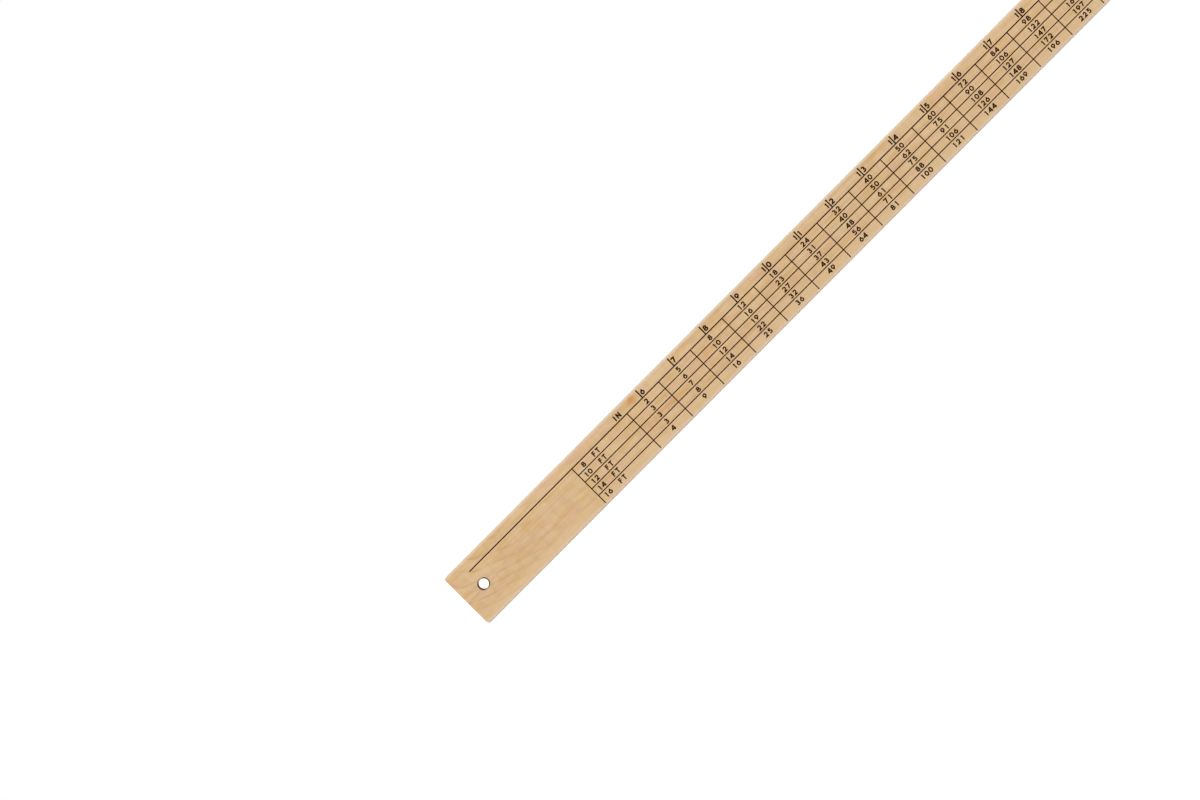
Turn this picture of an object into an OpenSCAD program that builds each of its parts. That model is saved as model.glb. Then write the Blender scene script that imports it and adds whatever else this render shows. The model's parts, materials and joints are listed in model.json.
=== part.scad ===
// Log scale stick: a flat hardwood rule for reading the board feet in cut logs and in standing trees.
// The wood is one piece, and each set of graduations is ink pressed into shallow grooves, flush with
// the wood, so that the stick lies flat on any side.
//
// X runs along the stick from its hole end to its far end, and every scale starts at the hole end.
// Y runs through its thickness, with the log face towards -Y and the tree face towards +Y.
// Z runs across its width. The stick stands on the edge that carries the long log row, with the
// origin under its middle.

/* [Stick] */
// Length of the stick
stick_length = 812.8; // [760:0.1:1000]
// Width of the two printed faces
stick_width = 36; // [35.5:0.1:50]
// Thickness, which is the width of the two narrow edges
stick_thickness = 7.9; // [6.5:0.1:13]
// Radius that all the outer edges are eased to
arris_radius = 0.7; // [0.3:0.1:1.2]
// Radius of the four corners of the printed faces
corner_radius = 2; // [1.5:0.1:6]

/* [Hanging hole] */
// Diameter of the hole
hole_diameter = 6; // [4:0.05:10]
// Distance from the end of the stick to the middle of the hole
hole_from_end = 14.2; // [9:0.1:20]
// Radius that the two rims of the hole are eased to
hole_rim_radius = 0.7; // [0.1:0.1:1]

/* [Ink] */
// Depth of the inked grooves
ink_depth = 0.1; // [0.05:0.01:0.4]
// Width of the lines between rows and columns
line_width = 0.65; // [0.2:0.05:0.9]
// Width of the line under the diameters of each table
header_line_width = 0.75; // [0.3:0.05:1.1]
// Width of the diameter marks
mark_width = 0.85; // [0.3:0.05:1.2]
// Bare wood between an eased edge and the nearest line
edge_clearance = 0.1; // [0.1:0.05:0.5]
// Bare wood between an eased edge and the graduation marks of a printed face
mark_clearance = 0.8; // [0.3:0.05:1.5]
// Bare wood between an eased edge and the foot of a table
table_clearance = 0.5; // [0.1:0.05:1]

/* [Tables] */
// Unit that diameters are counted in, an inch
unit = 25.4; // [23:0.1:28]
// Number of rows in each table, one for each log length or log count
table_rows = 5; // [3:1:5]
// Height of a table row
row_height = 5.35; // [4.6:0.01:5.4]
// Width of the column that holds the row labels
label_width = 44.2; // [30:0.1:60]
// Distance from the end of the stick to the start of the header lines
header_start = 13.3; // [8:0.1:30]

/* [Log face] */
// Diameter at the first column, in whole units
log_first_diameter = 6; // [5:1:10]
// Distance from the upper edge of the face to its header line
log_header_drop = 7.4; // [6:0.05:8.2]
// Bare wood that the table leaves at the far end of the stick
log_end_margin = 30; // [16:0.5:60]

/* [Tree face] */
// Trunk diameter at the first column, in whole units
tree_first_diameter = 10; // [8:1:14]
// Trunk diameter at the last column, in whole units
tree_last_diameter = 40; // [30:1:42]
// Distance from the eye to the stick when it is held against a trunk
diameter_reach = 660.4; // [600:0.1:700]
// Distance from the upper edge of the face to its header line
tree_header_drop = 7.95; // [6:0.05:8.5]
// Length of header line past the last column
tree_header_overrun = 66.5; // [0:0.5:80]

/* [Height edge] */
// Distance from the eye to the tree
tree_distance = 20116.8; // [18000:0.1:25000]
// Distance from the eye to the stick when it is held upright
height_reach = 635; // [600:0.1:700]
// Length of one log in the standing tree
tree_log_length = 4876.8; // [3600:0.1:6000]
// Height of the stump below the first log
stump_height = 304.8; // [100:0.1:500]
// Width of the height marks
height_mark_width = 0.85; // [0.3:0.05:1.2]
// Distance from the tree face to the height marks
height_mark_gap = 1.4; // [1.3:0.05:2.5]

/* [Hidden] */

$fn = 48;
overcut = 1;
wood_colour = [0.86, 0.73, 0.57];
ink_colour = [0.11, 0.09, 0.09];

hole_radius = hole_diameter / 2;
upper_z = stick_width;
line_start = arris_radius + edge_clearance;
mark_start = arris_radius + mark_clearance;
column_foot = stick_width - arris_radius - table_clearance;

// Distances along the stick, all from its hole end

// A true scale: the stick is laid across the end of a log, with its own hole end at the bark.
function log_mark(diameter) = diameter * unit;

// The diameter scale for a standing trunk. The eye's two lines of sight touch the round trunk
// and cross the stick, which touches the trunk too, so that the marks close up as trunks get thicker.
function tree_mark(diameter) =
    let (trunk = diameter * unit)
    trunk * sqrt(diameter_reach / (diameter_reach + trunk));

// The height scale: the height of a stump and of some whole logs, as seen at arm's length.
function height_mark(logs) =
    (stump_height + logs * tree_log_length) * height_reach / tree_distance;

// The log table has all the columns that the stick has room for.
log_last_diameter = floor((stick_length - log_end_margin) / unit - 0.5);
log_diameters = [log_first_diameter : log_last_diameter];
log_columns = [for (d = [log_first_diameter : log_last_diameter + 1]) log_mark(d - 0.5)];
log_label_start = log_mark(log_first_diameter - 0.5) - label_width;

// Each column of the tree table ends halfway between two diameter marks.
tree_diameters = [tree_first_diameter : tree_last_diameter];
tree_columns = [for (d = [tree_first_diameter : tree_last_diameter + 1])
                (tree_mark(d - 1) + tree_mark(d)) / 2];
tree_label_start = tree_columns[0] - label_width;

// The height edge has a mark for each whole log that fits on the stick.
height_room = stick_length - corner_radius - height_mark_width / 2;
height_logs = floor((height_room * tree_distance / height_reach - stump_height) / tree_log_length);

// Faces of the stick. A drawing has its zero at the hole end, runs along X and hangs down from the
// face's upper edge, as a person reading that face sees it. These lay its ink in the wood, from
// ink_depth below the surface up to the given height above it.

module on_log_face(above = 0)
    translate([-stick_length / 2, ink_depth - stick_thickness / 2, upper_z])
        rotate([90, 0, 0])
            linear_extrude(ink_depth + above)
                children();

module on_tree_face(above = 0)
    translate([-stick_length / 2, stick_thickness / 2 - ink_depth, 0])
        rotate([-90, 0, 0])
            linear_extrude(ink_depth + above)
                children();

module on_long_log_edge(above = 0)
    translate([-stick_length / 2, -stick_thickness / 2, ink_depth])
        rotate([180, 0, 0])
            linear_extrude(ink_depth + above)
                children();

module on_height_edge(above = 0)
    translate([-stick_length / 2, stick_thickness / 2, upper_z - ink_depth])
        linear_extrude(ink_depth + above)
            children();

// Lines of a drawing

// A line along the stick, at a distance below the face's upper edge
module long_line(drop, from, to, width)
    translate([from, -drop - width / 2])
        square([to - from, width]);

// A line across the face, between two distances below its upper edge
module cross_line(along, from, to, width)
    translate([along - width / 2, -to])
        square([width, to - from]);

// Header line, row lines and column lines of a table
module table_lines(header_drop, header_end, label_start, columns) {
    table_end = columns[len(columns) - 1] + line_width / 2;
    long_line(header_drop, header_start, header_end, header_line_width);
    for (row = [1 : table_rows - 1])
        long_line(header_drop + row * row_height, label_start, table_end, line_width);
    for (along = concat([label_start], columns))
        cross_line(along, header_drop, column_foot, line_width);
}

// Diameter marks, from near the face's upper edge down to the header line
module diameter_lines(places, header_drop)
    for (along = places)
        cross_line(along, mark_start, header_drop - header_line_width / 2, mark_width);

// Drawings of the four printed sides

module log_diameter_drawing()
    diameter_lines([for (d = log_diameters) log_mark(d)], log_header_drop);

module log_table_drawing()
    table_lines(log_header_drop, log_columns[len(log_columns) - 1] + line_width / 2,
                log_label_start, log_columns);

module tree_diameter_drawing()
    diameter_lines([for (d = tree_diameters) tree_mark(d)], tree_header_drop);

module tree_table_drawing()
    table_lines(tree_header_drop, tree_columns[len(tree_columns) - 1] + tree_header_overrun,
                tree_label_start, tree_columns);

// The long log row carries the log table's columns on around the edge.
module long_log_drawing()
    for (along = concat([log_label_start], log_columns))
        cross_line(along, line_start, stick_thickness - line_start, line_width);

module height_drawing()
    for (logs = [1 : height_logs])
        cross_line(height_mark(logs), height_mark_gap, stick_thickness - line_start, height_mark_width);

// The wood

// Section through a bar whose four long edges are eased
module eased_section(length, thickness) {
    square([length - 2 * arris_radius, thickness], center = true);
    square([length, thickness - 2 * arris_radius], center = true);
    for (x = [-1, 1], y = [-1, 1])
        translate([x * (length / 2 - arris_radius), y * (thickness / 2 - arris_radius)])
            circle(arris_radius);
}

// A round corner of the stick: a disc with an eased rim, flat on both printed faces
module eased_corner()
    rotate([90, 0, 0])
        rotate_extrude()
            intersection() {
                eased_section(2 * corner_radius, stick_thickness);
                translate([0, -stick_thickness])
                    square([2 * corner_radius, 2 * stick_thickness]);
            }

// The blank before drilling: a long bar, a bar across both ends and the four round corners
module blank()
    translate([0, 0, stick_width / 2]) {
        rotate([90, 0, 90])
            linear_extrude(stick_length - 2 * corner_radius, center = true)
                rotate(90)
                    eased_section(stick_width, stick_thickness);
        linear_extrude(stick_width - 2 * corner_radius, center = true)
            eased_section(stick_length, stick_thickness);
        for (x = [-1, 1], z = [-1, 1])
            translate([x * (stick_length / 2 - corner_radius), 0, z * (stick_width / 2 - corner_radius)])
                eased_corner();
    }

// The space that easing one rim of the hole takes away, around the hole's axis
module hole_rim_cut()
    rotate_extrude()
        translate([hole_radius, stick_thickness / 2])
            difference() {
                translate([-overcut, -hole_rim_radius])
                    square([overcut + hole_rim_radius, overcut + hole_rim_radius]);
                translate([hole_rim_radius, -hole_rim_radius])
                    circle(hole_rim_radius);
            }

module hanging_hole()
    translate([hole_from_end - stick_length / 2, 0, stick_width / 2])
        rotate([90, 0, 0]) {
            cylinder(r = hole_radius, h = stick_thickness + 2 * overcut, center = true);
            hole_rim_cut();
            mirror([0, 0, 1])
                hole_rim_cut();
        }

module hardwood_stick()
    color(wood_colour)
        difference() {
            blank();
            hanging_hole();
            on_log_face(overcut) {
                log_diameter_drawing();
                log_table_drawing();
            }
            on_tree_face(overcut) {
                tree_diameter_drawing();
                tree_table_drawing();
            }
            on_long_log_edge(overcut)
                long_log_drawing();
            on_height_edge(overcut)
                height_drawing();
        }

// The ink

module log_diameter_marks()
    color(ink_colour)
        on_log_face()
            log_diameter_drawing();

module log_volume_table()
    color(ink_colour)
        on_log_face()
            log_table_drawing();

module long_log_marks()
    color(ink_colour)
        on_long_log_edge()
            long_log_drawing();

module tree_diameter_marks()
    color(ink_colour)
        on_tree_face()
            tree_diameter_drawing();

module tree_volume_table()
    color(ink_colour)
        on_tree_face()
            tree_table_drawing();

module log_height_marks()
    color(ink_colour)
        on_height_edge()
            height_drawing();

hardwood_stick();
log_diameter_marks();
log_volume_table();
long_log_marks();
tree_diameter_marks();
tree_volume_table();
log_height_marks();
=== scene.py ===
"""A log scale stick: one strip of lacquered maple, printed in black on its four long sides."""

import json
import math
from collections import namedtuple

import bpy
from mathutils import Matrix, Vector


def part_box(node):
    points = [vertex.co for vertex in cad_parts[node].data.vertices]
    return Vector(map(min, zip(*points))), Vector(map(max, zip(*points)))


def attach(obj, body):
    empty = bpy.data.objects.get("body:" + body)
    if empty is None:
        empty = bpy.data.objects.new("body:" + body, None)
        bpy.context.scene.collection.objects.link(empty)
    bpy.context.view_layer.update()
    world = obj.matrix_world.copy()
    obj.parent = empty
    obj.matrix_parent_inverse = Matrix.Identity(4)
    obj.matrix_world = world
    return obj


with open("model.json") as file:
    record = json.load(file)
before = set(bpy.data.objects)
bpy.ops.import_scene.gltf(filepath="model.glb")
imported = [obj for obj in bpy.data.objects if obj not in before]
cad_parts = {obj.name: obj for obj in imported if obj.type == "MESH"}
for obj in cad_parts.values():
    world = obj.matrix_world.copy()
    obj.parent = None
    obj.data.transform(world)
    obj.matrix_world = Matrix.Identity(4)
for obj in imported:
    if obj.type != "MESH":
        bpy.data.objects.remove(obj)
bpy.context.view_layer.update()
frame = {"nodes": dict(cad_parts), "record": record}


# The stick is one strip of planed maple, 32 inches long, with eased arrises and a drilled hole to
# hang it by. It is finished with clear lacquer. At the hole end the growth rings run out across
# its faces.

MM = 0.001
wood = frame["nodes"]["hardwood_stick"]
wood_low, wood_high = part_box("hardwood_stick")
hole = frame["record"]["mounts"][0]
HOLE_X = hole["pos_m"][0]
HOLE_Z = hole["pos_m"][2]
HOLE_RADIUS = hole["dims"]["r_mm"] * MM
HOLE_RIM = 0.7 * MM
EASED_ARRIS = 0.7 * MM

PALE_MAPLE = (0.71, 0.497, 0.264, 1)
GOLDEN_MAPLE = (0.67, 0.42, 0.155, 1)
ROSY_MAPLE = (0.72, 0.44, 0.272, 1)
# The paler tone that the wood takes towards its lower edge
PALER_BELOW_MAPLE = (0.79, 0.57, 0.32, 1)
# The arrises' colour: wear, and a painted highlight there as well
WORN_AND_HIGHLIT_MAPLE = (0.77, 0.69, 0.60, 1)
RING_BROWN = (0.46, 0.22, 0.085, 1)
STREAK_BROWN = (0.42, 0.23, 0.105, 1)
FLECK_BROWN = (0.30, 0.15, 0.065, 1)
RUST_STAIN = (0.60, 0.27, 0.06, 1)
# End grain in the hole, made darker still as painted shade
DRILLED_AND_SHADED_BROWN = (0.070, 0.032, 0.013, 1)


def new_material(name):
    material = bpy.data.materials.new(name)
    material.use_nodes = True
    return material, material.node_tree.nodes, material.node_tree.links


def maths(tree, operation, first, second=0.0):
    """A Math node. Each value is a number or the socket that it comes from."""
    node = tree.nodes.new("ShaderNodeMath")
    node.operation = operation
    for socket, value in zip(node.inputs, (first, second)):
        if isinstance(value, (int, float)):
            socket.default_value = value
        else:
            tree.links.new(value, socket)
    return node.outputs[0]


def distance(tree, first, first_middle, second, second_middle):
    """How far a point is from an axis, from its two coordinates and the axis's."""
    squares = []
    for value, middle in ((first, first_middle), (second, second_middle)):
        offset = maths(tree, "SUBTRACT", value, middle)
        squares.append(maths(tree, "MULTIPLY", offset, offset))
    return maths(tree, "SQRT", maths(tree, "ADD", *squares))


def noise(tree, place, size_mm, detail=2.0, roughness=0.5):
    """Noise whose blotches are about size_mm long on each axis."""
    scale = tree.nodes.new("ShaderNodeMapping")
    scale.inputs["Scale"].default_value = [1 / (s * MM) for s in size_mm]
    texture = tree.nodes.new("ShaderNodeTexNoise")
    texture.inputs["Scale"].default_value = 1.0
    texture.inputs["Detail"].default_value = detail
    texture.inputs["Roughness"].default_value = roughness
    tree.links.new(place, scale.inputs["Vector"])
    tree.links.new(scale.outputs[0], texture.inputs["Vector"])
    return texture.outputs["Fac"]


def stray(tree, place, size_mm, reach):
    """Noise that strays to both sides of zero, by half of reach at the most."""
    return maths(tree, "MULTIPLY", maths(tree, "SUBTRACT", noise(tree, place, size_mm), 0.5), reach)


def ramp(tree, value, low, high, at_low=0.0, at_high=1.0):
    """Turns a value that goes from low to high smoothly into one from at_low to at_high."""
    node = tree.nodes.new("ShaderNodeMapRange")
    node.interpolation_type = "SMOOTHSTEP"
    tree.links.new(value, node.inputs["Value"])
    node.inputs["From Min"].default_value = low
    node.inputs["From Max"].default_value = high
    node.inputs["To Min"].default_value = at_low
    node.inputs["To Max"].default_value = at_high
    return node.outputs[0]


def blend_colour(tree, amount, first, second):
    """A Mix node from the first colour to the second, each a tuple or the socket it comes from."""
    node = tree.nodes.new("ShaderNodeMix")
    node.data_type = "RGBA"
    tree.links.new(amount, node.inputs["Factor"])
    for socket, colour in ((node.inputs[6], first), (node.inputs[7], second)):
        if isinstance(colour, tuple):
            socket.default_value = colour
        else:
            tree.links.new(colour, socket)
    return node.outputs[2]


def tint(tree, colour, pattern, tone, low, high, strength):
    """Lays a tone over a colour, more and more as the pattern goes from low to high."""
    amount = ramp(tree, pattern, low, high, at_low=0.0, at_high=strength)
    return blend_colour(tree, amount, colour, tone)


# Fine fibres and short flecks run along the stick. Like each later pattern's size, theirs is the
# length along the stick, the depth through it and the height across it, in millimetres.
FIBRE_SIZE = (22, 0.28, 0.28)
FLECK_SIZE = (3.0, 0.22, 0.22)


def make_fibres():
    """The maple's fibres and short flecks, which show in the wood and through the ink."""
    group = bpy.data.node_groups.new("maple_fibres", "ShaderNodeTree")
    group.interface.new_socket("Place", in_out="INPUT", socket_type="NodeSocketVector")
    group.interface.new_socket("Fibres", in_out="OUTPUT", socket_type="NodeSocketFloat")
    group.interface.new_socket("Flecks", in_out="OUTPUT", socket_type="NodeSocketFloat")
    enter = group.nodes.new("NodeGroupInput")
    leave = group.nodes.new("NodeGroupOutput")
    place = enter.outputs["Place"]
    long_fibres = noise(group, place, FIBRE_SIZE, roughness=0.6)
    short_fibres = noise(group, place, FLECK_SIZE, detail=1.0)
    group.links.new(long_fibres, leave.inputs["Fibres"])
    group.links.new(ramp(group, short_fibres, 0.67, 0.75), leave.inputs["Flecks"])
    return group


maple_fibres = make_fibres()


def add_fibres(tree, place):
    """The fibres' group node in a material, as its two outputs."""
    node = tree.nodes.new("ShaderNodeGroup")
    node.node_tree = maple_fibres
    tree.links.new(place, node.inputs["Place"])
    return node.outputs["Fibres"], node.outputs["Flecks"]


def raise_fibres(material, fibres, strength, height):
    """Lets the fibres stand a little proud, as a Bump node on the shader's normal."""
    nodes, links = material.node_tree.nodes, material.node_tree.links
    relief = nodes.new("ShaderNodeBump")
    relief.inputs["Strength"].default_value = strength
    relief.inputs["Distance"].default_value = height
    links.new(fibres, relief.inputs["Height"])
    links.new(relief.outputs[0], nodes["Principled BSDF"].inputs["Normal"])


# The growth rings lie round the pith of the tree, and run out at a slant by the hole end.
PITH_Z = 48 * MM
PITH_Y = 30 * MM
RING_WIDTH = 4.2 * MM
RING_WANDER = 8 * MM
RUN_OUT = 0.32
RUN_OUT_LENGTH = 140 * MM
RINGS_CLEAR_TO = 15 * MM
RINGS_LOST_AT = 80 * MM
WANDER_SIZE = (40, 18, 18)
RING_PATCH_SIZE = (12, 6, 6)


def growth_rings(tree, place, from_end, y, z):
    """The rings as shells round the pith: the season that each point grew in, and its late wood."""
    fading = maths(tree, "EXPONENT", maths(tree, "DIVIDE", from_end, -RUN_OUT_LENGTH))
    run_out = maths(tree, "MULTIPLY", fading, RUN_OUT * RUN_OUT_LENGTH)
    wander = stray(tree, place, WANDER_SIZE, RING_WANDER)
    from_pith = distance(tree, z, PITH_Z, y, PITH_Y)
    radius = maths(tree, "ADD", from_pith, maths(tree, "ADD", wander, run_out))
    season = maths(tree, "FRACT", maths(tree, "DIVIDE", radius, RING_WIDTH))
    darkening = ramp(tree, season, 0.70, 0.92)
    before_winter = ramp(tree, season, 0.94, 1.0, at_low=1.0, at_high=0.0)
    near_end = ramp(tree, from_end, RINGS_CLEAR_TO, RINGS_LOST_AT, at_low=1.0, at_high=0.15)
    patches = noise(tree, place, RING_PATCH_SIZE, detail=1.0)
    strength = ramp(tree, patches, 0.35, 0.65, at_low=0.05, at_high=0.38)
    late_wood = maths(tree, "MULTIPLY", darkening, before_winter)
    late_wood = maths(tree, "MULTIPLY", late_wood, near_end)
    return season, maths(tree, "MULTIPLY", late_wood, strength)


# A mark in one face is gone this far past the middle of the stick's thickness.
FACE_MARK_END = 1 * MM

# Each stain's distance from the hole end and from the upper edge, half its length and its width,
# and its strength
STAINS = (
    (146.6 * MM, 3.6 * MM, 6.36 * MM, 3.84 * MM, 1.0),
    (160 * MM, 20.7 * MM, 28.8 * MM, 2.4 * MM, 0.5),
    (196 * MM, 15.4 * MM, 13.2 * MM, 2.4 * MM, 0.45),
    (339 * MM, 2.4 * MM, 15.6 * MM, 2.16 * MM, 0.35),
)


def add_stains(tree, colour, from_end, y, z, ragged):
    """Rust-coloured stains on the log face, the strongest in the band above the first column."""
    log_side = ramp(tree, y, -FACE_MARK_END, FACE_MARK_END, at_low=1.0, at_high=0.0)
    for along, drop, half_length, half_width, strength in STAINS:
        stain_x = maths(tree, "SUBTRACT", from_end, along)
        stain_x = maths(tree, "MULTIPLY", stain_x, half_width / half_length)
        from_stain = distance(tree, stain_x, 0.0, z, wood_high[2] - drop)
        from_stain = maths(tree, "ADD", from_stain, ragged)
        stain = ramp(tree, from_stain, 0.0, half_width, at_low=strength, at_high=0.0)
        colour = blend_colour(tree, maths(tree, "MULTIPLY", stain, log_side), colour, RUST_STAIN)
    return colour


# The eye in the grain of the tree face, whose dark ring has a soft inner and a soft outer edge
EYE_FROM_END = 11 * MM
EYE_HEIGHT = 25.8 * MM
EYE_SLIMNESS = 0.34
EYE_INNER_EDGE = (2.2 * MM, 3.4 * MM)
EYE_OUTER_EDGE = (3.6 * MM, 4.6 * MM)
EYE_STRENGTH = 0.4


def add_eye(tree, colour, x, y, z, ragged):
    """Near the far end a ring only just breaks the surface of the tree face, as a rosy eye."""
    eye_x = maths(tree, "SUBTRACT", x, wood_high[0] - EYE_FROM_END)
    eye_x = maths(tree, "MULTIPLY", eye_x, EYE_SLIMNESS)
    from_eye = distance(tree, eye_x, 0.0, z, wood_low[2] + EYE_HEIGHT)
    from_eye = maths(tree, "ADD", from_eye, maths(tree, "MULTIPLY", ragged, 0.5))
    inner_edge = ramp(tree, from_eye, *EYE_INNER_EDGE)
    outer_edge = ramp(tree, from_eye, *EYE_OUTER_EDGE, at_low=1.0, at_high=0.0)
    tree_side = ramp(tree, y, -FACE_MARK_END, FACE_MARK_END, at_low=0.0, at_high=EYE_STRENGTH)
    eye = maths(tree, "MULTIPLY", maths(tree, "MULTIPLY", inner_edge, outer_edge), tree_side)
    return blend_colour(tree, eye, colour, RUST_STAIN)


def drilled_wood(tree, x, z):
    """The wall and the rim of the hole, darkest to its left and right: partly end grain where the
    drill cut across it, partly painted shade.
    """
    from_hole = distance(tree, x, HOLE_X, z, HOLE_Z)
    rim_start = HOLE_RADIUS + 0.7 * HOLE_RIM
    rim_end = HOLE_RADIUS + 1.4 * HOLE_RIM
    rim = ramp(tree, from_hole, rim_start, rim_end, at_low=0.97, at_high=0.0)
    # Painted shade: the rim is darkened most to the left and right of the hole.
    across = maths(tree, "ABSOLUTE", maths(tree, "SUBTRACT", x, HOLE_X))
    across = maths(tree, "DIVIDE", across, HOLE_RADIUS)
    return maths(tree, "MULTIPLY", rim, ramp(tree, across, 0.2, 0.85, at_low=0.4, at_high=1.0))


def worn_wood(tree, y, z):
    """The four arrises, worn pale by hands and paled further by a painted highlight, from the
    distance to the nearest of them.
    """
    middle_z = (wood_low[2] + wood_high[2]) / 2
    from_middle = maths(tree, "ABSOLUTE", maths(tree, "SUBTRACT", z, middle_z))
    inside_z = maths(tree, "SUBTRACT", wood_high[2] - middle_z, from_middle)
    inside_y = maths(tree, "SUBTRACT", wood_high[1], maths(tree, "ABSOLUTE", y))
    from_arris = maths(tree, "ADD", inside_z, inside_y)
    # Painted highlight as well as wear: the arrises are paled towards a near-white.
    return ramp(tree, from_arris, 0.8 * EASED_ARRIS, 3.2 * EASED_ARRIS, at_low=0.5, at_high=0.0)


# Soft patches of gold and rose lie along the grain, and a faint curl goes across it. The wood
# is paler towards the stick's lower edge.
GOLD_SIZE = (15, 3.0, 3.0)
ROSE_SIZE = (12, 3.0, 3.0)
CURL_SIZE = (3.6, 30, 12)
PALER_BELOW_FROM = 1 * MM
PALER_BELOW_TO = 12 * MM


def grain_colour(tree, place, z, season, late_wood, streaks, fibres, flecks):
    """The colour of the clean wood, as one part of its grain after another is laid over it."""
    gold = noise(tree, place, GOLD_SIZE, detail=2.5)
    rose = noise(tree, place, ROSE_SIZE, detail=2.5)
    curl = noise(tree, place, CURL_SIZE, detail=1.0)
    paler_below = ramp(tree, z, PALER_BELOW_FROM, PALER_BELOW_TO, at_low=0.55, at_high=0.0)
    colour = tint(tree, PALE_MAPLE, gold, GOLDEN_MAPLE, low=0.40, high=0.72, strength=0.9)
    colour = tint(tree, colour, rose, ROSY_MAPLE, low=0.44, high=0.74, strength=0.8)
    colour = tint(tree, colour, season, STREAK_BROWN, low=0.2, high=0.9, strength=0.07)
    colour = tint(tree, colour, streaks, STREAK_BROWN, low=0.45, high=0.8, strength=0.30)
    colour = blend_colour(tree, late_wood, colour, RING_BROWN)
    colour = tint(tree, colour, fibres, STREAK_BROWN, low=0.5, high=0.85, strength=0.2)
    colour = blend_colour(tree, maths(tree, "MULTIPLY", flecks, 0.22), colour, FLECK_BROWN)
    colour = tint(tree, colour, curl, STREAK_BROWN, low=0.35, high=0.75, strength=0.14)
    return blend_colour(tree, paler_below, colour, PALER_BELOW_MAPLE)


# Long streaks take the colour and the lacquer unevenly, and the edges of the stains are ragged.
STREAK_SIZE = (70, 1.6, 1.6)
RAGGED_SIZE = (4, 1.5, 1.5)
RAGGED_REACH = 2.4 * MM


def make_wood():
    material, nodes, links = new_material("lacquered_maple")
    tree = material.node_tree
    surface = nodes["Principled BSDF"]
    coordinates = nodes.new("ShaderNodeTexCoord")
    place = coordinates.outputs["Object"]
    split = nodes.new("ShaderNodeSeparateXYZ")
    links.new(place, split.inputs[0])
    x, y, z = split.outputs
    from_end = maths(tree, "SUBTRACT", x, wood_low[0])
    season, late_wood = growth_rings(tree, place, from_end, y, z)
    streaks = noise(tree, place, STREAK_SIZE, detail=3.0, roughness=0.6)
    ragged = stray(tree, place, RAGGED_SIZE, RAGGED_REACH)
    fibres, flecks = add_fibres(tree, place)
    colour = grain_colour(tree, place, z, season, late_wood, streaks, fibres, flecks)
    colour = add_stains(tree, colour, from_end, y, z, ragged)
    colour = add_eye(tree, colour, x, y, z, ragged)

    # End grain drinks the lacquer and looks darker: in the hole and at the sawn ends. Round the
    # hole the darkness is partly painted shade. Hands have worn the arrises pale, and a painted
    # highlight pales them further.
    drilled_and_shaded = drilled_wood(tree, x, z)
    colour = blend_colour(tree, drilled_and_shaded, colour, DRILLED_AND_SHADED_BROWN)
    split_normal = nodes.new("ShaderNodeSeparateXYZ")
    links.new(coordinates.outputs["Normal"], split_normal.inputs[0])
    facing_end = maths(tree, "ABSOLUTE", split_normal.outputs[0])
    colour = tint(tree, colour, facing_end, STREAK_BROWN, low=0.6, high=1.0, strength=0.35)
    worn_and_highlit = worn_wood(tree, y, z)
    colour = blend_colour(tree, worn_and_highlit, colour, WORN_AND_HIGHLIT_MAPLE)
    links.new(colour, surface.inputs["Base Color"])

    # The lacquer lies evenly on the faces. It is dulled on the arrises, and in the hole the wood
    # has soaked it up.
    satin = ramp(tree, streaks, 0.3, 0.8, at_low=0.40, at_high=0.52)
    worn_and_highlit_dull = maths(tree, "MULTIPLY", worn_and_highlit, 0.4)
    drilled_and_shaded_dull = maths(tree, "MULTIPLY", drilled_and_shaded, 0.6)
    roughness = maths(tree, "ADD", satin, maths(tree, "MAXIMUM", worn_and_highlit_dull, drilled_and_shaded_dull))
    lacquer = maths(tree, "MULTIPLY", maths(tree, "SUBTRACT", 1.0, drilled_and_shaded), 0.3)
    links.new(roughness, surface.inputs["Roughness"])
    links.new(lacquer, surface.inputs["Coat Weight"])
    surface.inputs["Coat Roughness"].default_value = 0.25
    raise_fibres(material, fibres, strength=0.25, height=0.04 * MM)
    return material


maple = make_wood()
for material_slot in wood.material_slots:
    material_slot.material = maple


# The marks and the lines of the tables are black ink that has soaked a little way into the wood.
# Seen close to, it isn't quite even, because the fibres and flecks take less ink than the rest.

INK_BLACK = (0.032, 0.011, 0.004, 1)
INK_BROWN = (0.110, 0.045, 0.018, 1)


def make_ink():
    material, nodes, links = new_material("black_ink")
    tree = material.node_tree
    surface = nodes["Principled BSDF"]
    place = nodes.new("ShaderNodeTexCoord").outputs["Object"]
    fibres, flecks = add_fibres(tree, place)
    bare_fibres = ramp(tree, fibres, 0.55, 0.8, at_low=0.0, at_high=0.6)
    thin_ink = maths(tree, "MAXIMUM", bare_fibres, flecks)
    roughness = ramp(tree, fibres, 0.3, 0.8, at_low=0.45, at_high=0.6)
    links.new(blend_colour(tree, thin_ink, INK_BLACK, INK_BROWN), surface.inputs["Base Color"])
    links.new(roughness, surface.inputs["Roughness"])
    surface.inputs["Specular IOR Level"].default_value = 0.05
    raise_fibres(material, fibres, strength=0.2, height=0.02 * MM)
    return material


ink = make_ink()
for name, node in frame["nodes"].items():
    if name != "hardwood_stick":
        for material_slot in node.material_slots:
            material_slot.material = ink


# The diameters along the upper edge of the log face are printed from a plain round type.
# A number of two digits straddles its mark, and a single digit stands to the right of it.
# Each character is drawn once with a flat nib, and the print is a skin of ink over the wood.

INCH = 25.4 * MM
TypeSize = namedtuple("TypeSize", "height stroke set_width")
DIAMETER_TYPE = TypeSize(height=3.5 * MM, stroke=0.88 * MM, set_width=1.06)
LOG_FIRST = 6
LOG_LAST = 30
LOG_DIAMETER_DROP = 4.65 * MM
LOG_FACE = ((math.radians(90), 0, 0), (wood_low[0], wood_low[1], wood_high[2]))

# How far the tens end before the middle of a mark, and how far after it the units begin
BESIDE_LOG_MARK = (1.25 * MM, 0.85 * MM)

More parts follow.
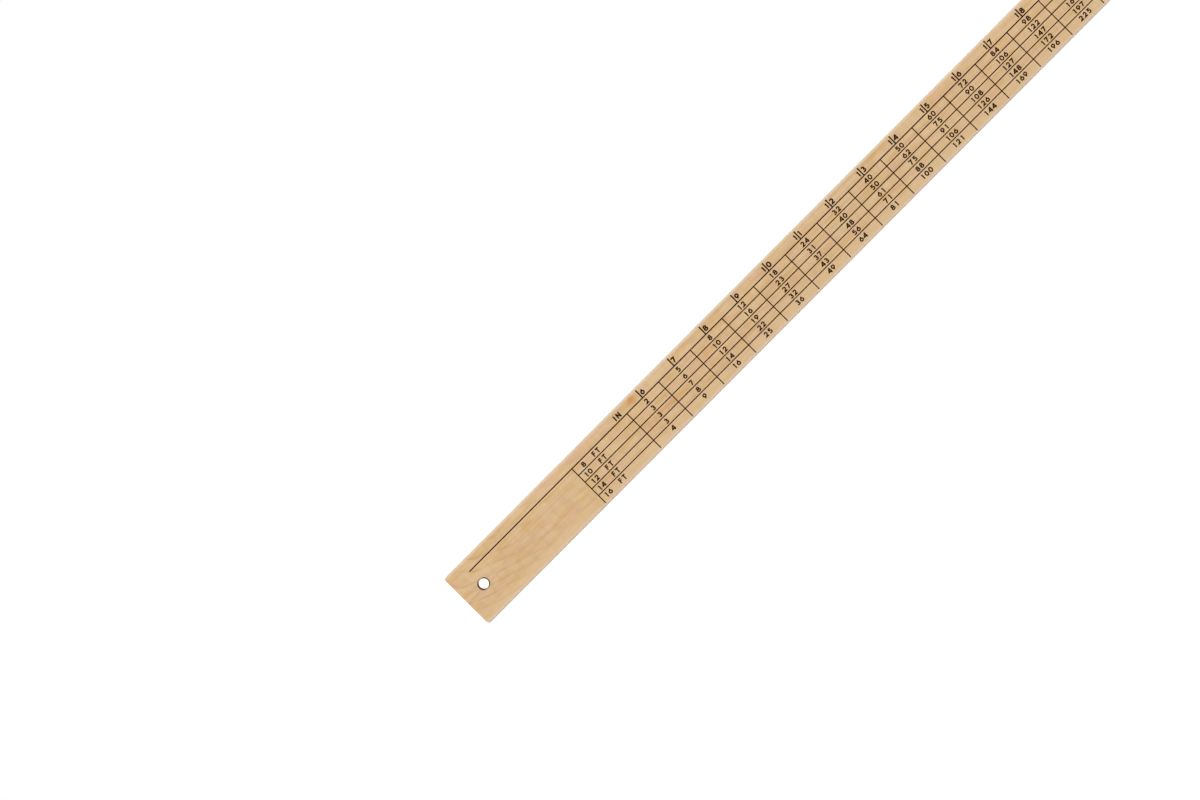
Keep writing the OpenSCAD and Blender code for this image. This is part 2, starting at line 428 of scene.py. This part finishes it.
# From one digit to the next, in numbers of one to four digits. Four digits are set narrower.
DIGIT_PITCH = {1: 3.0 * MM, 2: 3.0 * MM, 3: 3.05 * MM, 4: 2.6 * MM}
FOUR_DIGIT_WIDTH = 0.9
LETTER_GAP = 0.3

# The ink stands INK_SKIN proud of the wood, and strokes that cross lie a hair above each other.
# Points closer than SAME_POINT are merged, and so are faces that differ by less than FLAT_WITHIN.
INK_SKIN = 0.02 * MM
STROKE_LAYER = 0.004 * MM
SAME_POINT = 0.002 * MM
FLAT_WITHIN = math.radians(2)


def arc(middle_x, middle_y, radius_x, radius_y, start, end, steps):
    """Points along part of an ellipse, from one angle in degrees to another."""
    turns = [math.radians(start + (end - start) * step / steps) for step in range(steps + 1)]
    return [(middle_x + radius_x * math.cos(a), middle_y + radius_y * math.sin(a)) for a in turns]


def characters(fine):
    """The nib's paths for each character, one unit high. A larger fine gives smoother curves.

    An upright that ends square runs on by about half the width of the stroke.
    """
    return {
        "0": [arc(0.36, 0.5, 0.36, 0.5, 0, 360, 20 * fine)],
        "1": [[(0.20, -0.14), (0.20, 1.14)], [(0.20, 1.02), (0.0, 0.86)]],
        "2": [arc(0.31, 0.69, 0.29, 0.31, 170, -38, 10 * fine) + [(0.03, 0), (0.70, 0)]],
        "3": [arc(0.29, 0.76, 0.26, 0.24, 155, -90, 11 * fine) + [(0.22, 0.52)],
              [(0.22, 0.52)] + arc(0.29, 0.26, 0.31, 0.26, 90, -158, 11 * fine)],
        "4": [[(0.60, -0.14), (0.60, 1.14)], [(0.57, 1.04), (0.0, 0.26), (0.84, 0.26)]],
        "5": [[(0.67, 1), (0.14, 1), (0.08, 0.50)],
              arc(0.30, 0.31, 0.33, 0.31, 132, -148, 12 * fine)],
        "6": [arc(0.34, 0.33, 0.34, 0.33, 0, 360, 18 * fine), [(0.53, 1.03), (0.08, 0.52)]],
        "7": [[(-0.12, 1), (0.62, 1), (0.16, -0.10)]],
        "8": [arc(0.34, 0.76, 0.27, 0.24, 0, 360, 14 * fine),
              arc(0.34, 0.26, 0.34, 0.26, 0, 360, 16 * fine)],
        "9": [arc(0.34, 0.67, 0.34, 0.33, 0, 360, 18 * fine), [(0.15, -0.03), (0.60, 0.48)]],
        "F": [[(0.0, -0.14), (0.0, 1), (0.56, 1)], [(0.0, 0.53), (0.50, 0.53)]],
        "T": [[(-0.12, 1), (0.74, 1)], [(0.31, 1), (0.31, -0.14)]],
        "I": [[(0.0, -0.14), (0.0, 1.14)]],
        "N": [[(0.0, -0.14), (0.0, 1.14)], [(0.04, 1.02), (0.62, -0.02)],
              [(0.66, -0.14), (0.66, 1.14)]],
    }


def cut_character(character, size):
    """One character as a thin slab of ink, its lower left corner at the origin, and its width."""
    stroke = size.stroke
    nib_y = size.height - stroke
    nib_x = nib_y * size.set_width
    paths = characters(round(size.height / DIAMETER_TYPE.height))[character]
    bpy.ops.object.select_all(action="DESELECT")
    bpy.ops.mesh.primitive_plane_add(size=stroke)
    letter = bpy.context.active_object
    bpy.ops.object.mode_set(mode="EDIT")
    bpy.ops.mesh.delete(type="VERT")
    for layer, path in enumerate(paths):
        path = [(stroke / 2 + x * nib_x, stroke / 2 + y * nib_y) for x, y in path]
        bpy.ops.mesh.select_all(action="DESELECT")
        bpy.ops.mesh.primitive_plane_add(size=stroke, location=(*path[0], layer * STROKE_LAYER))
        bpy.ops.mesh.merge(type="CENTER")
        for (x, y), (next_x, next_y) in zip(path, path[1:]):
            step = (next_x - x, next_y - y, 0)
            bpy.ops.mesh.extrude_region_move(TRANSFORM_OT_translate={"value": step})
    bpy.ops.mesh.select_all(action="SELECT")
    bpy.ops.mesh.remove_doubles(threshold=SAME_POINT)
    bpy.ops.mesh.extrude_region_move(TRANSFORM_OT_translate={"value": (0, 0, 2 * INK_SKIN)})
    bpy.ops.object.mode_set(mode="OBJECT")
    nib = letter.modifiers.new("nib", "SOLIDIFY")
    nib.thickness = stroke
    nib.offset = 0
    nib.use_even_offset = True
    bpy.ops.object.modifier_apply(modifier="nib")
    bpy.ops.object.mode_set(mode="EDIT")
    bpy.ops.mesh.select_all(action="SELECT")
    bpy.ops.mesh.normals_make_consistent(inside=False)
    bpy.ops.mesh.dissolve_limited(angle_limit=FLAT_WITHIN)
    bpy.ops.object.mode_set(mode="OBJECT")
    mesh = letter.data
    width = max(vertex.co.x for vertex in mesh.vertices)
    bpy.data.objects.remove(letter)
    return mesh, width


type_case = {}


def set_type(text, size):
    """The characters of a text as (mesh, left edge) pairs, the text's middle and its width."""
    pieces, left = [], 0.0
    if len(text) == 4:
        size = size._replace(set_width=size.set_width * FOUR_DIGIT_WIDTH)
    for character in text:
        if (character, size) not in type_case:
            type_case[character, size] = cut_character(character, size)
        mesh, width = type_case[character, size]
        if text.isdigit():
            pitch = DIGIT_PITCH[len(text)]
            pieces.append((mesh, left + (pitch - width) / 2))
            right = left + (pitch + width) / 2
            left += pitch
        else:
            pieces.append((mesh, left))
            right = left + width
            left = right + LETTER_GAP * size.height
    start = pieces[0][1]
    middle = left / 2 if text.isdigit() else right / 2
    return [(mesh, place - start) for mesh, place in pieces], middle - start, right - start


def print_texts(name, texts, size, side):
    """Prints (text, along, drop, anchor) items on one side of the stick as one piece of ink.

    along and drop place the anchor, which is the left, the middle or the right of the text at half
    its height. side is the turn and the corner of the wood that lay a flat drawing on that side.
    """
    copies = []
    for text, along, drop, anchor in texts:
        pieces, middle, width = set_type(text, size)
        along -= {"left": 0.0, "middle": middle, "right": width}[anchor]
        for mesh, left in pieces:
            copy = bpy.data.objects.new(name, mesh.copy())
            bpy.context.collection.objects.link(copy)
            copy.location = (along + left, -drop - size.height / 2, -INK_SKIN)
            copies.append(copy)
    bpy.ops.object.select_all(action="DESELECT")
    for copy in copies:
        copy.select_set(True)
    bpy.context.view_layer.objects.active = copies[0]
    bpy.ops.object.join()
    piece = bpy.context.active_object
    piece.name = name
    piece.data.name = name
    bpy.ops.object.transform_apply(location=True, rotation=True, scale=True)
    piece.rotation_euler, piece.location = side
    bpy.ops.object.transform_apply(location=True, rotation=True, scale=True)
    piece.data.materials.append(ink)
    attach(piece, "root")


def log_place(diameter):
    return diameter * INCH


def straddle(diameter, place, drop, beside_mark):
    """A diameter's digits on either side of its mark, as texts to print."""
    digits = str(diameter)
    texts = [(digits[-1], place + beside_mark[1], drop, "left")]
    if len(digits) == 2:
        texts.append((digits[0], place - beside_mark[0], drop, "right"))
    return texts


log_diameters = range(LOG_FIRST, LOG_LAST + 1)
texts = [text for d in log_diameters
         for text in straddle(d, log_place(d), LOG_DIAMETER_DROP, BESIDE_LOG_MARK)]
print_texts("log_diameter_numbers", texts, DIAMETER_TYPE, LOG_FACE)


# The body of the log table gives the board feet in a log, by its diameter and its length.
# Each number is set under its diameter, a little below the middle of its cell. The numbers aren't
# quite centred: they hang over to the right, most of all those of three digits.

TABLE_TYPE = TypeSize(height=3.2 * MM, stroke=0.77 * MM, set_width=1.07)
LOG_HEADER_DROP = 7.4 * MM
ROW_HEIGHT = 5.35 * MM
BELOW_MIDDLE = 0.2 * MM
LOG_LENGTHS = (8, 10, 12, 14, 16)

# How far a number of one to four digits hangs over to the right
OVERHANG = {1: 0.2 * MM, 2: 0.15 * MM, 3: 0.5 * MM, 4: 0.1 * MM}

# The small logs, by diameter and length, whose printed board feet are rounded another way
PRINTED_VOLUMES = {
    (6, 10): 3, (6, 14): 3, (7, 8): 5, (10, 10): 23, (10, 18): 41, (13, 10): 50, (15, 10): 75,
}


def row_drop(header_drop, row):
    return header_drop + (row + 0.5) * ROW_HEIGHT + BELOW_MIDDLE


def log_volume(diameter, length):
    """Board feet by the rule: a quarter of the diameter less 4, squared, for each foot."""
    by_rule = round((diameter - 4) ** 2 * length / 16)
    return PRINTED_VOLUMES.get((diameter, length), by_rule)


def in_column(volume, place, drop):
    """A volume in the column of a mark, as a text to print."""
    return str(volume), place + OVERHANG[len(str(volume))], drop, "middle"


texts = [
    in_column(log_volume(d, length), log_place(d), row_drop(LOG_HEADER_DROP, row))
    for row, length in enumerate(LOG_LENGTHS)
    for d in log_diameters
]
print_texts("log_volume_numbers", texts, TABLE_TYPE, LOG_FACE)


# At the left of the log table, in the same ink, stand the lengths of log that its rows are for,
# in feet. The unit of the diameters stands in the band above them.

LABEL_WIDTH = 44.2 * MM
LABEL_NUMBER_END = 7.85 * MM
LABEL_UNIT_START = 13.9 * MM
DIAMETER_UNIT_END = 41.5 * MM
log_label_start = log_place(LOG_FIRST - 0.5) - LABEL_WIDTH


def row_label(number, label_start, drop):
    return [(str(number), label_start + LABEL_NUMBER_END, drop, "right"),
            ("FT", label_start + LABEL_UNIT_START, drop, "left")]


texts = [text for row, length in enumerate(LOG_LENGTHS)
         for text in row_label(length, log_label_start, row_drop(LOG_HEADER_DROP, row))]
print_texts("log_length_labels", texts, TABLE_TYPE, LOG_FACE)
texts = [("IN", log_label_start + DIAMETER_UNIT_END, LOG_DIAMETER_DROP, "right")]
print_texts("log_diameter_unit", texts, DIAMETER_TYPE, LOG_FACE)


# The narrow edge below the log face goes on with one more row, for the longest logs. It is
# printed in the same type and ink, and its numbers stand in the columns of the face above.

LONG_LOG = 18
LONG_LOG_DROP = 4.1 * MM
LONG_LOG_EDGE = ((math.radians(180), 0, 0), (wood_low[0], wood_low[1], wood_low[2]))

texts = row_label(LONG_LOG, log_label_start, LONG_LOG_DROP)
texts += [in_column(log_volume(d, LONG_LOG), log_place(d), LONG_LOG_DROP) for d in log_diameters]
print_texts("long_log_numbers", texts, TABLE_TYPE, LONG_LOG_EDGE)


# The tree face has the diameters of standing trunks. Their marks close up towards the far end,
# because the eye at arm's length sees less than half-way round a thick trunk. Their digits are
# a little smaller and stand closer to their marks than on the log face.

TREE_FIRST = 10
TREE_LAST = 40
ARM_REACH = 26 * INCH
TREE_DIAMETER_TYPE = TypeSize(height=3.35 * MM, stroke=0.78 * MM, set_width=1.06)
TREE_DIAMETER_DROP = 5.25 * MM
BESIDE_TREE_MARK = (0.62 * MM, 0.62 * MM)
TREE_FACE = ((math.radians(-90), 0, 0), (wood_low[0], wood_high[1], wood_low[2]))


def tree_place(diameter):
    """Where the line of sight past the other side of a trunk crosses a stick held against it."""
    trunk = diameter * INCH
    return trunk * math.sqrt(ARM_REACH / (ARM_REACH + trunk))


tree_diameters = range(TREE_FIRST, TREE_LAST + 1)
texts = [text for d in tree_diameters
         for text in straddle(d, tree_place(d), TREE_DIAMETER_DROP, BESIDE_TREE_MARK)]
print_texts("tree_diameter_numbers", texts, TREE_DIAMETER_TYPE, TREE_FACE)


# The tree table gives the board feet in a tree, by its diameter and the height of its trunk.
# Thin trees aren't tall, so the lower rows start further along. The volumes are measured ones for
# the even diameters, up to the last, and an odd diameter has the mean of its neighbours.

FEET_PER_LOG = 16
TREE_HEADER_DROP = 7.95 * MM
EVEN_VOLUMES = {
    1: (14, 29, 48, 72, 100, 135, 174, 216, 266, 317, 376, 441, 506, 581, 655, 740),
    2: (20, 43, 75, 116, 164, 225, 295, 370, 459, 551, 658, 776, 894, 1035, 1170, 1330),
    3: (53, 93, 149, 215, 297, 392, 496, 619, 750, 898, 1068, 1235, 1434, 1635, 1858),
    4: (170, 248, 346, 462, 582, 737, 890, 1069, 1283, 1487, 1732, 1975, 2260),
    5: (383, 521, 668, 849, 1032, 1251, 1488, 1730, 2023, 2322, 2636),
}


def first_with_logs(logs):
    """The thinnest trunk that holds this many logs."""
    return TREE_LAST + 2 - 2 * len(EVEN_VOLUMES[logs])


def tree_row_drop(logs):
    return row_drop(TREE_HEADER_DROP, logs - 1)


def tree_volume(diameter, logs):
    volumes = EVEN_VOLUMES[logs]
    step, odd = divmod(diameter - first_with_logs(logs), 2)
    return round((volumes[step] + volumes[step + odd]) / 2)


texts = [
    in_column(tree_volume(d, logs), tree_place(d), tree_row_drop(logs))
    for logs in EVEN_VOLUMES
    for d in range(first_with_logs(logs), TREE_LAST + 1)
]
print_texts("tree_volume_numbers", texts, TABLE_TYPE, TREE_FACE)

tree_label_start = (tree_place(TREE_FIRST - 1) + tree_place(TREE_FIRST)) / 2 - LABEL_WIDTH
texts = [text for logs in EVEN_VOLUMES
         for text in row_label(logs * FEET_PER_LOG, tree_label_start, tree_row_drop(logs))]
print_texts("tree_height_labels", texts, TABLE_TYPE, TREE_FACE)
texts = [("IN", tree_label_start + DIAMETER_UNIT_END, TREE_DIAMETER_DROP, "right")]
print_texts("tree_diameter_unit", texts, TREE_DIAMETER_TYPE, TREE_FACE)


# The upper edge counts the logs in a standing tree, seen from 66 feet off over a stick that is
# held upright. Each tall printed number lies on its side past its mark.

FOOT = 12 * INCH
TREE_DISTANCE = 66 * FOOT
HEIGHT_REACH = 25 * INCH
TREE_LOG = FEET_PER_LOG * FOOT
STUMP = 1 * FOOT
HEIGHT_TYPE = TypeSize(height=6.1 * MM, stroke=0.9 * MM, set_width=0.95)
HEIGHT_NUMBER_PLACE = 4.6 * MM
HEIGHT_MARK_GAP = 1.55 * MM
HEIGHT_EDGE = ((0, 0, math.radians(-90)), (wood_low[0], wood_high[1], wood_high[2]))


def height_place(logs):
    return (STUMP + logs * TREE_LOG) * HEIGHT_REACH / TREE_DISTANCE


number_rise = HEIGHT_MARK_GAP + HEIGHT_TYPE.height / 2
texts = [(str(logs), HEIGHT_NUMBER_PLACE, -height_place(logs) - number_rise, "middle")
         for logs in EVEN_VOLUMES]
print_texts("log_height_numbers", texts, HEIGHT_TYPE, HEIGHT_EDGE)

# The type is put away: each printed piece has copies of its own.
for mesh, _ in type_case.values():
    bpy.data.meshes.remove(mesh)


# The stick stands on a wide pale floor, which keeps its shadow. The floor glows a little to the
# camera alone, so that it shows white.

FLOOR_WIDTH = 400
FLOOR_WHITE = (0.8, 0.8, 0.8, 1)
FLOOR_GLOW = 0.2
PURE_WHITE = (1, 1, 1, 1)

bpy.ops.object.select_all(action="DESELECT")
bpy.ops.mesh.primitive_plane_add(size=FLOOR_WIDTH, location=(0, 0, wood_low[2]))
floor = bpy.context.active_object
floor.name = "floor"
material, nodes, links = new_material("floor_white")
surface = nodes["Principled BSDF"]
surface.inputs["Base Color"].default_value = FLOOR_WHITE
surface.inputs["Roughness"].default_value = 0.9
surface.inputs["Specular IOR Level"].default_value = 0.0
surface.inputs["Emission Color"].default_value = PURE_WHITE
light_path = nodes.new("ShaderNodeLightPath")
glow = maths(material.node_tree, "MULTIPLY", light_path.outputs["Is Camera Ray"], FLOOR_GLOW)
links.new(glow, surface.inputs["Emission Strength"])
floor.data.materials.append(material)


# Soft studio light comes from a wide key lamp in front, a wide fill lamp behind and an even
# surround, which is white to the camera and dimmer to the stick.

SOFT_ANGLE = math.radians(50)
SURROUND = 0.38


def make_light(name, elevation, azimuth, strength):
    """A broad lamp that shines down from this elevation and azimuth in degrees, 0 the front."""
    turn = (math.radians(90 - elevation), 0, math.radians(azimuth))
    bpy.ops.object.light_add(type="SUN", rotation=turn)
    lamp = bpy.context.active_object
    lamp.name = name
    lamp.data.angle = SOFT_ANGLE
    lamp.data.energy = strength


make_light("key", elevation=42, azimuth=-22, strength=1.85)
make_light("fill", elevation=52, azimuth=155, strength=1.5)

world = bpy.data.worlds.new("studio")
bpy.context.scene.world = world
world.use_nodes = True
background = world.node_tree.nodes["Background"]
world_path = world.node_tree.nodes.new("ShaderNodeLightPath")
surround = maths(world.node_tree, "MAXIMUM", world_path.outputs["Is Camera Ray"], SURROUND)
world.node_tree.links.new(surround, background.inputs["Strength"])
background.inputs["Color"].default_value = PURE_WHITE


# The camera faces the log face squarely, turned so that the stick climbs to the upper right.
# CORNER_PIXEL is where the picture shows the top corner of the hole end.

PICTURE_WIDTH = 1200
PICTURE_HEIGHT = 800
PIXELS_PER_METRE = 1765.4
CORNER_PIXEL = (443.5, 579.1)
STICK_ANGLE = math.radians(45.1)
CAMERA_DISTANCE = 2.5
SENSOR_WIDTH = 36
SEES_AS_FAR_AS = 300

across = (PICTURE_WIDTH / 2 - CORNER_PIXEL[0]) / PIXELS_PER_METRE
up = (CORNER_PIXEL[1] - PICTURE_HEIGHT / 2) / PIXELS_PER_METRE
camera_x = wood_low[0] + across * math.cos(STICK_ANGLE) + up * math.sin(STICK_ANGLE)
camera_z = wood_high[2] - across * math.sin(STICK_ANGLE) + up * math.cos(STICK_ANGLE)
bpy.ops.object.camera_add(location=(camera_x, wood_low[1] - CAMERA_DISTANCE, camera_z),
                          rotation=(math.radians(90), STICK_ANGLE, 0))
camera = bpy.context.active_object
camera.data.sensor_width = SENSOR_WIDTH
camera.data.lens = SENSOR_WIDTH * CAMERA_DISTANCE * PIXELS_PER_METRE / PICTURE_WIDTH
camera.data.clip_end = SEES_AS_FAR_AS
bpy.context.scene.camera = camera
bpy.context.scene.view_settings.view_transform = "Standard"
